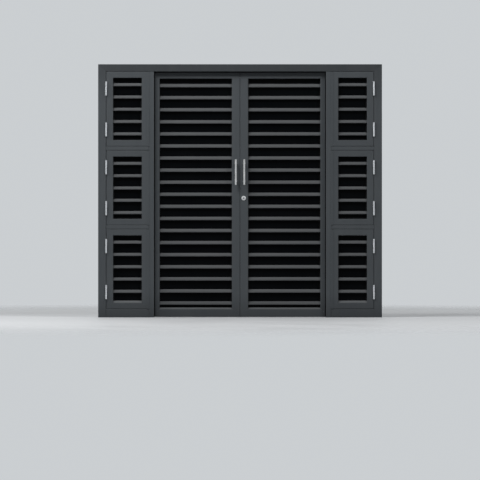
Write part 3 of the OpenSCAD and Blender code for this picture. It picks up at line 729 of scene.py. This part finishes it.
def screwMesh(name, settings):
    radius, height = settings["headRadius"], settings["headHeight"]
    side = math.radians(settings["socketSide"])
    work = bmesh.new()

    def ring(r, share, hexagonal):
        verts = []
        for i in range(settings["segments"]):
            angle = 2 * math.pi * i / settings["segments"]
            flat = math.cos((angle % side) - side / 2)
            reach = r / flat if hexagonal else r
            verts.append(work.verts.new((reach * math.cos(angle), share * height, reach * math.sin(angle))))
        return verts

    rings = [ring(across * radius, share, False) for across, share in settings["crown"]]
    for share in (settings["socketRim"], settings["socketFloor"]):
        rings.append(ring(settings["socket"], share, True))
    skin(work, rings)
    return meshOf(name, work, sharpAngle=30.0)


screwRing = makeScrewRing()
for body in louvredBodies:
    low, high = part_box(f"{body}_pane")
    inset = beadScrew["beadMiddle"]
    middle = (low + high) / 2
    middle.y = high.y + beadScrew["beadThickness"]
    values = {
        "Half width": (high.x - low.x) / 2 - inset,
        "Half height": (high.z - low.z) / 2 - inset,
        "Corner gap": beadScrew["cornerGap"],
        "Across": beadScrew[f"{kindOf(body)}Across"],
        "Up": beadScrew[f"{kindOf(body)}Up"],
        "Middle": middle,
        "Material": worksZinc,
    }
    head = screwMesh(f"{body}_screw", beadScrew)
    grow(f"{body}_bead_screws", head, screwRing, values, body)


# rubber round each pane: a channel over the stop in front, a round wedge behind

gasket = {
    "radius": 0.0016,
    "wedgeSides": 8,
    "beadEdge": 0.008,
    "proud": 0.0006,
    "stopMiddle": 0.0032,
    "channelWidth": 0.0103,
    "channelDepth": 0.0034,
}


def makeGasket():
    tree, source, sockets = startTree(
        "gasketRing",
        [
            ("Width", "NodeSocketFloat"),
            ("Height", "NodeSocketFloat"),
            ("Stop width", "NodeSocketFloat"),
            ("Stop height", "NodeSocketFloat"),
            ("Radius", "NodeSocketFloat"),
            ("Channel width", "NodeSocketFloat"),
            ("Channel depth", "NodeSocketFloat"),
            ("Front", "NodeSocketVector"),
            ("Back", "NodeSocketVector"),
            ("Material", "NodeSocketMaterial"),
        ],
    )

    def oblong(width, height):
        return addNode(
            tree, "GeometryNodeCurvePrimitiveQuadrilateral", {"Width": width, "Height": height}
        ).outputs[0]

    wedge = addNode(
        tree,
        "GeometryNodeCurvePrimitiveCircle",
        {"Resolution": gasket["wedgeSides"], "Radius": source["Radius"]},
    )
    # a profile stands on the corner's bisector, so its width in the plane is taken root two wider
    mitred = addNode(
        tree, "ShaderNodeMath", {0: source["Channel width"], 1: math.sqrt(2.0)}, operation="MULTIPLY"
    )
    faces = {
        "Front": (
            oblong(source["Stop width"], source["Stop height"]),
            oblong(mitred.outputs[0], source["Channel depth"]),
        ),
        "Back": (oblong(source["Width"], source["Height"]), wedge.outputs[0]),
    }
    upright = (math.radians(90.0), 0.0, 0.0)
    joined = tree.nodes.new("GeometryNodeJoinGeometry")
    for face, (ring, profile) in faces.items():
        swept = addNode(tree, "GeometryNodeCurveToMesh", {"Curve": ring, "Profile Curve": profile})
        placed = addNode(
            tree,
            "GeometryNodeTransform",
            {"Geometry": swept.outputs[0], "Translation": source[face], "Rotation": upright},
        )
        tree.links.new(placed.outputs[0], joined.inputs[0])
    endTree(tree, joined.outputs[0], source["Material"])
    return tree, sockets


gasketRing = makeGasket()
for body in louvredBodies:
    low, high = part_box(f"{body}_pane")
    middle = (low + high) / 2
    inset = gasket["beadEdge"] + gasket["radius"]
    values = {
        "Width": high.x - low.x - 2 * inset,
        "Height": high.z - low.z - 2 * inset,
        "Stop width": high.x - low.x - 2 * gasket["stopMiddle"],
        "Stop height": high.z - low.z - 2 * gasket["stopMiddle"],
        "Radius": gasket["radius"],
        "Channel width": gasket["channelWidth"],
        "Channel depth": gasket["channelDepth"],
        "Front": Vector((middle.x, low.y - gasket["channelDepth"] / 2, middle.z)),
        "Back": Vector((middle.x, high.y + gasket["proud"], middle.z)),
        # painted shade: the pane gaskets take the darker-than-rubber black
        "Material": shadeBlackRubber,
    }
    empty = bpy.data.meshes.new(f"{body}_gasket")
    grow(f"{body}_pane_gaskets", empty, gasketRing, values, body)
print("pane gaskets laid")


# screws in rows: four in the plate of each casement bolt, two each in the lock's forend and the strike


def makeScrewRows():
    tree, source, sockets = startTree(
        "screwRows",
        [
            ("Columns", "NodeSocketInt"),
            ("Column step", "NodeSocketVector"),
            ("Rows", "NodeSocketInt"),
            ("Row step", "NodeSocketVector"),
            ("First", "NodeSocketVector"),
            ("Turn", "NodeSocketVector"),
            ("Material", "NodeSocketMaterial"),
        ],
    )
    row = addNode(
        tree, "GeometryNodeMeshLine", {"Count": source["Columns"], "Offset": source["Column step"]}
    )
    rows = addNode(tree, "GeometryNodeMeshLine", {"Count": source["Rows"], "Offset": source["Row step"]})
    field = addNode(
        tree, "GeometryNodeInstanceOnPoints", {"Points": rows.outputs[0], "Instance": row.outputs[0]}
    )
    spots = addNode(tree, "GeometryNodeRealizeInstances", {"Geometry": field.outputs[0]})
    screws = addNode(
        tree,
        "GeometryNodeInstanceOnPoints",
        {"Points": spots.outputs[0], "Instance": source["Geometry"], "Rotation": source["Turn"]},
    )
    placed = addNode(
        tree, "GeometryNodeTransform", {"Geometry": screws.outputs[0], "Translation": source["First"]}
    )
    endTree(tree, placed.outputs[0], source["Material"])
    return tree, sockets


guideScrew = {
    **screwHead,
    "headRadius": 0.0024,
    "headHeight": 0.0012,
    "socket": 0.0010,
    "behindTip": 0.0150,
    "apart": 0.0120,
    "fromAxis": 0.0100,
    "plateBelowBolt": 0.0060,
}

edgeScrew = {
    **screwHead,
    "headRadius": 0.0042,
    "headHeight": 0.0003,
    "socket": 0.0018,
    "fromEnd": 0.0085,
}

screwRows = makeScrewRows()
for body in casements:
    low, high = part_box(f"{body}_bolt")
    way = sideOf(body)
    tip = high.x if way < 0 else low.x
    values = {
        "Columns": 2,
        "Column step": Vector((way * guideScrew["apart"], 0.0, 0.0)),
        "Rows": 2,
        "Row step": Vector((0.0, 0.0, 2 * guideScrew["fromAxis"])),
        "First": Vector((
            tip + way * guideScrew["behindTip"],
            low.y - guideScrew["plateBelowBolt"],
            (low.z + high.z) / 2 - guideScrew["fromAxis"],
        )),
        "Turn": Vector((0.0, 0.0, 0.0)),
        "Material": worksZinc,
    }
    head = screwMesh(f"{body}_guide_screw", guideScrew)
    grow(f"{body}_guide_screws", head, screwRows, values, body)
for node, body, way in (("lock_case", "right_leaf", -1.0), ("strike_plate", "left_leaf", 1.0)):
    low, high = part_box(node)
    values = {
        "Columns": 1,
        "Column step": Vector((0.0, 0.0, 0.0)),
        "Rows": 2,
        "Row step": Vector((0.0, 0.0, high.z - low.z - 2 * edgeScrew["fromEnd"])),
        "First": Vector((high.x if way > 0 else low.x, (low.y + high.y) / 2, low.z + edgeScrew["fromEnd"])),
        "Turn": Vector((0.0, 0.0, math.radians(-90.0 * way))),
        "Material": worksZinc,
    }
    grow(f"{node}_screws", screwMesh(f"{node}_screw", edgeScrew), screwRows, values, body)
print("plate screws placed")


# tint film on the inner face of each pane

tintFilm = {
    "colour": (0.0040, 0.0046, 0.0056),
    "haze": 0.0030,
    "hazeScale": 2.2,
    "hazeDetail": 4.0,
    "specular": 0.50,
    "roughness": (0.05, 0.11),
    "inset": 0.0088,
    "thickness": 0.0003,
    "clear": 0.00003,
    "cornerRadius": 0.006,
    "cornerSteps": 5,
}


def filmMesh(name, low, high, settings):
    radius, inset = settings["cornerRadius"], settings["inset"]
    middle = (low + high) / 2
    halfWidth = (high.x - low.x) / 2 - inset - radius
    halfHeight = (high.z - low.z) / 2 - inset - radius
    outline = []
    for quarter, (right, up) in enumerate(((1, 1), (-1, 1), (-1, -1), (1, -1))):
        for i in range(settings["cornerSteps"] + 1):
            angle = math.pi / 2 * (quarter + i / settings["cornerSteps"])
            outline.append((
                middle.x + right * halfWidth + radius * math.cos(angle),
                middle.z + up * halfHeight + radius * math.sin(angle),
            ))
    near = high.y + settings["clear"]
    work = bmesh.new()
    skin(work, [
        [work.verts.new((x, y, z)) for x, z in outline]
        for y in (near, near + settings["thickness"])
    ])
    return meshOf(name, work)


filmGlass = darkGlass("filmGlass", tintFilm)
for body in louvredBodies:
    film = filmMesh(f"{body}_film", *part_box(f"{body}_pane"), tintFilm)
    fit(f"{body}_tint_film", film, filmGlass, body)
print("tint films laid on", len(louvredBodies), "panes")


# soft seal on the edge of the left leaf that closes the gap to the right one

meetingSeal = {
    **rubber,
    "colour": (0.036, 0.040, 0.043),
    "roughness": (0.60, 0.75),
    "behindFace": 0.0045,
    "depth": 0.006,
    "steps": 8,
    "clear": 0.00002,
}


def sealMesh(name, settings):
    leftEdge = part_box("left_leaf_frame")[1]
    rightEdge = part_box("right_leaf_frame")[0]
    reach = rightEdge.x - leftEdge.x - settings["clear"]
    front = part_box("left_leaf_frame")[0].y + settings["behindFace"]
    outline = []
    for i in range(settings["steps"] + 1):
        turn = math.pi * i / settings["steps"]
        behind = settings["depth"] * (1 - math.cos(turn)) / 2
        outline.append((leftEdge.x + reach * math.sin(turn), front + behind))
    work = bmesh.new()
    skin(work, [[work.verts.new((x, y, z)) for x, y in outline] for z in (rightEdge.z, leftEdge.z)])
    return meshOf(name, work)


edgeRubber = blackRubber("edgeRubber", meetingSeal)
fit("meeting_seal", sealMesh("meeting_seal", meetingSeal), edgeRubber, "left_leaf")
print("meeting seal fitted")


# bulb seal on the frame that the two leaves close against, up both mullions and along under the head

bulbSeal = {
    "width": 0.0088,
    "height": 0.0056,
    "proud": 0.008,
    "flange": 0.010,
    "flangeThickness": 0.0012,
    "clear": 0.0006,
    "steps": 14,
}


def bulbOutline(settings):
    # round bulb on a flat flange: how far out from the opening's edge, how far ahead of the leaves' face
    halfWidth, halfHeight = settings["width"] / 2, settings["height"] / 2
    across = halfWidth - settings["proud"]
    ahead = settings["clear"] + halfHeight
    flangeTop = settings["clear"] + settings["flangeThickness"]
    start = math.radians(-90.0)
    end = math.asin((flangeTop - ahead) / halfHeight) - 2 * math.pi
    outline = [(settings["flange"], settings["clear"])]
    for i in range(settings["steps"] + 1):
        turn = start + (end - start) * i / settings["steps"]
        outline.append((across + halfWidth * math.cos(turn), ahead + halfHeight * math.sin(turn)))
    return outline + [(settings["flange"], flangeTop)]


def bulbMesh(name, settings):
    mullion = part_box("right_mullion")[0].x
    leaf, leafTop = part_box("right_leaf_frame")
    headFoot = leafTop.z - (leafTop.x - mullion)  # the head laps the leaves as far as the mullions do
    work = bmesh.new()
    rings = []
    for way, atHead in ((-1, False), (-1, True), (1, True), (1, False)):
        rings.append([
            work.verts.new((way * (mullion + out), leaf.y - ahead, headFoot + out if atHead else leaf.z))
            for out, ahead in bulbOutline(settings)
        ])
    skin(work, rings)
    return meshOf(name, work)


# the bulb seal takes the same darker-than-rubber black, as painted shade in the corner of the leaves'
# recess
fit("leaf_bulb_seal", bulbMesh("leaf_bulb_seal", bulbSeal), shadeBlackRubber, "frame")
print("bulb seal fitted")


# weld runs that hold the hinge tangs

hingeWeld = {
    "hingeLength": 0.120,
    "casementInset": 0.142,
    "leafInset": 0.220,
    "tangEdge": 0.0135,
    "tangInset": 0.006,
    "tangLength": 0.048,
    "ripplePitch": 0.0024,
    "rippleRadius": 0.0020,
    "rippleSegments": 8,
    "rippleRings": 5,
    "rippleSmallest": (0.85, 0.85, 0.9),
    "rippleLargest": (1.1, 1.1, 1.2),
    "rippleSeed": 3,
}


def makeWeldRuns():
    tree, source, sockets = startTree(
        "weldRuns",
        [
            ("Ripples", "NodeSocketInt"),
            ("Ripple pitch", "NodeSocketFloat"),
            ("Ripple radius", "NodeSocketFloat"),
            ("Material", "NodeSocketMaterial"),
        ],
    )
    step = addNode(tree, "ShaderNodeCombineXYZ", {"Z": source["Ripple pitch"]})
    line = addNode(tree, "GeometryNodeMeshLine", {"Count": source["Ripples"], "Offset": step.outputs[0]})
    runs = addNode(
        tree, "GeometryNodeInstanceOnPoints", {"Points": source["Geometry"], "Instance": line.outputs[0]}
    )
    spots = addNode(tree, "GeometryNodeRealizeInstances", {"Geometry": runs.outputs[0]})
    ripple = addNode(
        tree,
        "GeometryNodeMeshUVSphere",
        {
            "Segments": hingeWeld["rippleSegments"],
            "Rings": hingeWeld["rippleRings"],
            "Radius": source["Ripple radius"],
        },
    )
    smooth = addNode(tree, "GeometryNodeSetShadeSmooth", {"Geometry": ripple.outputs[0]})
    limits = (hingeWeld["rippleSmallest"], hingeWeld["rippleLargest"])
    size = randomVector(tree, hingeWeld["rippleSeed"], *limits)
    beads = addNode(
        tree,
        "GeometryNodeInstanceOnPoints",
        {"Points": spots.outputs[0], "Instance": smooth.outputs[0], "Scale": size},
    )
    endTree(tree, beads.outputs[0], source["Material"])
    return tree, sockets


def hingeHeights(body):
    low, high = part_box(f"{body}_frame")
    inset = hingeWeld[f"{kindOf(body)}Inset"]
    middle = [(low.z + high.z) / 2] if body in leaves else []
    return [low.z + inset, *middle, high.z - inset]


def hingeFace(body):
    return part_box(f"{body}_frame")[1].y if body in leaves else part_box("right_jamb")[0].y


def runStarts(body, onFrame):
    # the frame's tang is on the lower half of a hinge, the moving one on the upper half
    way = sideOf(body)
    axis = leafHingeX if body in leaves else casementHingeX
    edge = hingeWeld["tangEdge"] if onFrame else -hingeWeld["tangEdge"]
    rise = hingeWeld["tangInset"] - (hingeWeld["hingeLength"] / 2 if onFrame else 0.0)
    return [Vector((way * (axis + edge), hingeFace(body), z + rise)) for z in hingeHeights(body)]


def pointsMesh(name, points):
    mesh = bpy.data.meshes.new(name)
    mesh.from_pydata([tuple(point) for point in points], [], [])
    return mesh


weldRuns = makeWeldRuns()
weldValues = {
    "Ripples": int(hingeWeld["tangLength"] / hingeWeld["ripplePitch"]) + 1,
    "Ripple pitch": hingeWeld["ripplePitch"],
    "Ripple radius": hingeWeld["rippleRadius"],
    "Material": framePaint,
}
onFrame = [start for body in louvredBodies for start in runStarts(body, True)]
grow("frame_hinge_welds", pointsMesh("frame_weld", onFrame), weldRuns, weldValues, "frame")
for body in louvredBodies:
    starts = pointsMesh(f"{body}_weld", runStarts(body, False))
    grow(f"{body}_hinge_welds", starts, weldRuns, weldValues, body)
print("hinge welds run")


# floor that fades into the background, and a world that shines in mostly from behind

floor = {
    "colour": (0.43, 0.44, 0.45),
    "size": 16.0,
    "clearTo": 2.6,
    "goneAt": 6.5,
    "drop": 0.0005,
    "specular": 0.3,
    "roughness": (0.42, 0.60),
    "grainScale": 1.3,
    "grainDetail": 5.0,
    "grainTone": (0.97, 1.03),
}

background = {
    "colour": (0.595, 0.62, 0.64),
    "fromFront": 0.05,
    "fromBehind": 0.75,
    "turnover": (-0.1, 0.6),
}


def makeFloor():
    bpy.ops.mesh.primitive_plane_add(size=floor["size"])
    plane = bpy.context.object
    plane.name = "floor"
    material, tree, shader, place = startMaterial("floorPaint")
    grain = noise(tree, place, floor["grainScale"], floor["grainDetail"])
    deep, pale = (scaled(floor["colour"], tone) for tone in floor["grainTone"])
    tree.links.new(mixColour(tree, grain, deep, pale), shader.inputs["Base Color"])
    tree.links.new(spread(tree, grain, *floor["roughness"]), shader.inputs["Roughness"])
    shader.inputs["Specular IOR Level"].default_value = floor["specular"]
    length = tree.nodes.new("ShaderNodeVectorMath")
    length.operation = "LENGTH"
    tree.links.new(place, length.inputs[0])
    edges = (floor["clearTo"], floor["goneAt"])
    fade = remap(tree, length.outputs["Value"], edges, (0.0, 1.0), smooth=True)
    clear = tree.nodes.new("ShaderNodeBsdfTransparent")
    mix = tree.nodes.new("ShaderNodeMixShader")
    tree.links.new(fade, mix.inputs["Fac"])
    tree.links.new(shader.outputs["BSDF"], mix.inputs[1])
    tree.links.new(clear.outputs["BSDF"], mix.inputs[2])
    tree.links.new(mix.outputs[0], tree.nodes["Material Output"].inputs["Surface"])
    plane.data.materials.append(material)
    plane.location.z = -floor["drop"]


def makeWorld():
    world = bpy.data.worlds.new("paleStudio")
    bpy.context.scene.world = world
    world.use_nodes = True
    tree = world.node_tree
    light = tree.nodes["Background"]
    light.inputs["Color"].default_value = (1.0, 1.0, 1.0, 1.0)
    way = axesOf(tree, tree.nodes.new("ShaderNodeTexCoord").outputs["Generated"])
    strengths = (background["fromFront"], background["fromBehind"])
    level = remap(tree, way["Y"], background["turnover"], strengths, smooth=True)
    tree.links.new(level, light.inputs["Strength"])
    seen = tree.nodes.new("ShaderNodeBackground")
    seen.inputs["Color"].default_value = (*background["colour"], 1.0)
    path = tree.nodes.new("ShaderNodeLightPath")
    shown = path.outputs["Is Camera Ray"]  # camera, metal and glass see one even colour
    for ray in ("Is Glossy Ray", "Is Transmission Ray"):
        shown = mathNode(tree, "MAXIMUM", shown, path.outputs[ray])
    mix = tree.nodes.new("ShaderNodeMixShader")
    tree.links.new(shown, mix.inputs["Fac"])
    tree.links.new(light.outputs["Background"], mix.inputs[1])
    tree.links.new(seen.outputs["Background"], mix.inputs[2])
    tree.links.new(mix.outputs[0], tree.nodes["World Output"].inputs["Surface"])


keyLight = {
    "fromLeft": 42.0,
    "above": 50.0,
    "distance": 7.0,
    "width": 3.0,
    "height": 1.8,
    "power": 385.0,
}

sideLight = {
    "fromLeft": 72.0,
    "above": 30.0,
    "distance": 8.0,
    "width": 2.5,
    "height": 3.0,
    "power": 277.0,
}

fillLight = {
    "fromLeft": -48.0,
    "above": 38.0,
    "distance": 11.0,
    "width": 2.0,
    "height": 2.0,
    "power": 580.0,
}


def makeSoftbox(name, settings):
    middle = (cadBox[0] + cadBox[1]) / 2
    aside, above = math.radians(settings["fromLeft"]), math.radians(settings["above"])
    level = math.cos(above)
    travel = Vector((math.sin(aside) * level, math.cos(aside) * level, -math.sin(above)))
    lamp = bpy.data.lights.new(name, "AREA")
    lamp.shape = "RECTANGLE"
    lamp.size = settings["width"]
    lamp.size_y = settings["height"]
    lamp.energy = settings["power"]
    holder = bpy.data.objects.new(name, lamp)
    bpy.context.scene.collection.objects.link(holder)
    holder.location = middle - travel * settings["distance"]
    holder.rotation_euler = travel.to_track_quat("-Z", "Y").to_euler()
    holder.visible_camera = False


view = {
    "imagePixels": 480.0,
    "metresPerPixel": 0.008454,
    "pixelOfBaseMiddle": (240.05, 317.34),  # from the left and from the top of the picture
    "distance": 30.0,
    "sensor": 36.0,
}


def makeCamera():
    half = view["imagePixels"] / 2
    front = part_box("right_jamb")[0].y
    data = bpy.data.cameras.new("frontCamera")
    data.sensor_width = view["sensor"]
    data.lens = view["sensor"] * view["distance"] / (view["imagePixels"] * view["metresPerPixel"])
    camera = bpy.data.objects.new("frontCamera", data)
    bpy.context.scene.collection.objects.link(camera)
    across, down = view["pixelOfBaseMiddle"]
    camera.location = (
        (half - across) * view["metresPerPixel"],
        front - view["distance"],
        (down - half) * view["metresPerPixel"],
    )
    camera.rotation_euler = (math.radians(90.0), 0.0, 0.0)
    bpy.context.scene.camera = camera


makeFloor()
makeWorld()
makeSoftbox("keyLight", keyLight)
makeSoftbox("sideLight", sideLight)
makeSoftbox("fillLight", fillLight)
makeCamera()
bpy.context.scene.view_settings.view_transform = "Standard"
print("stage, light and camera ready")
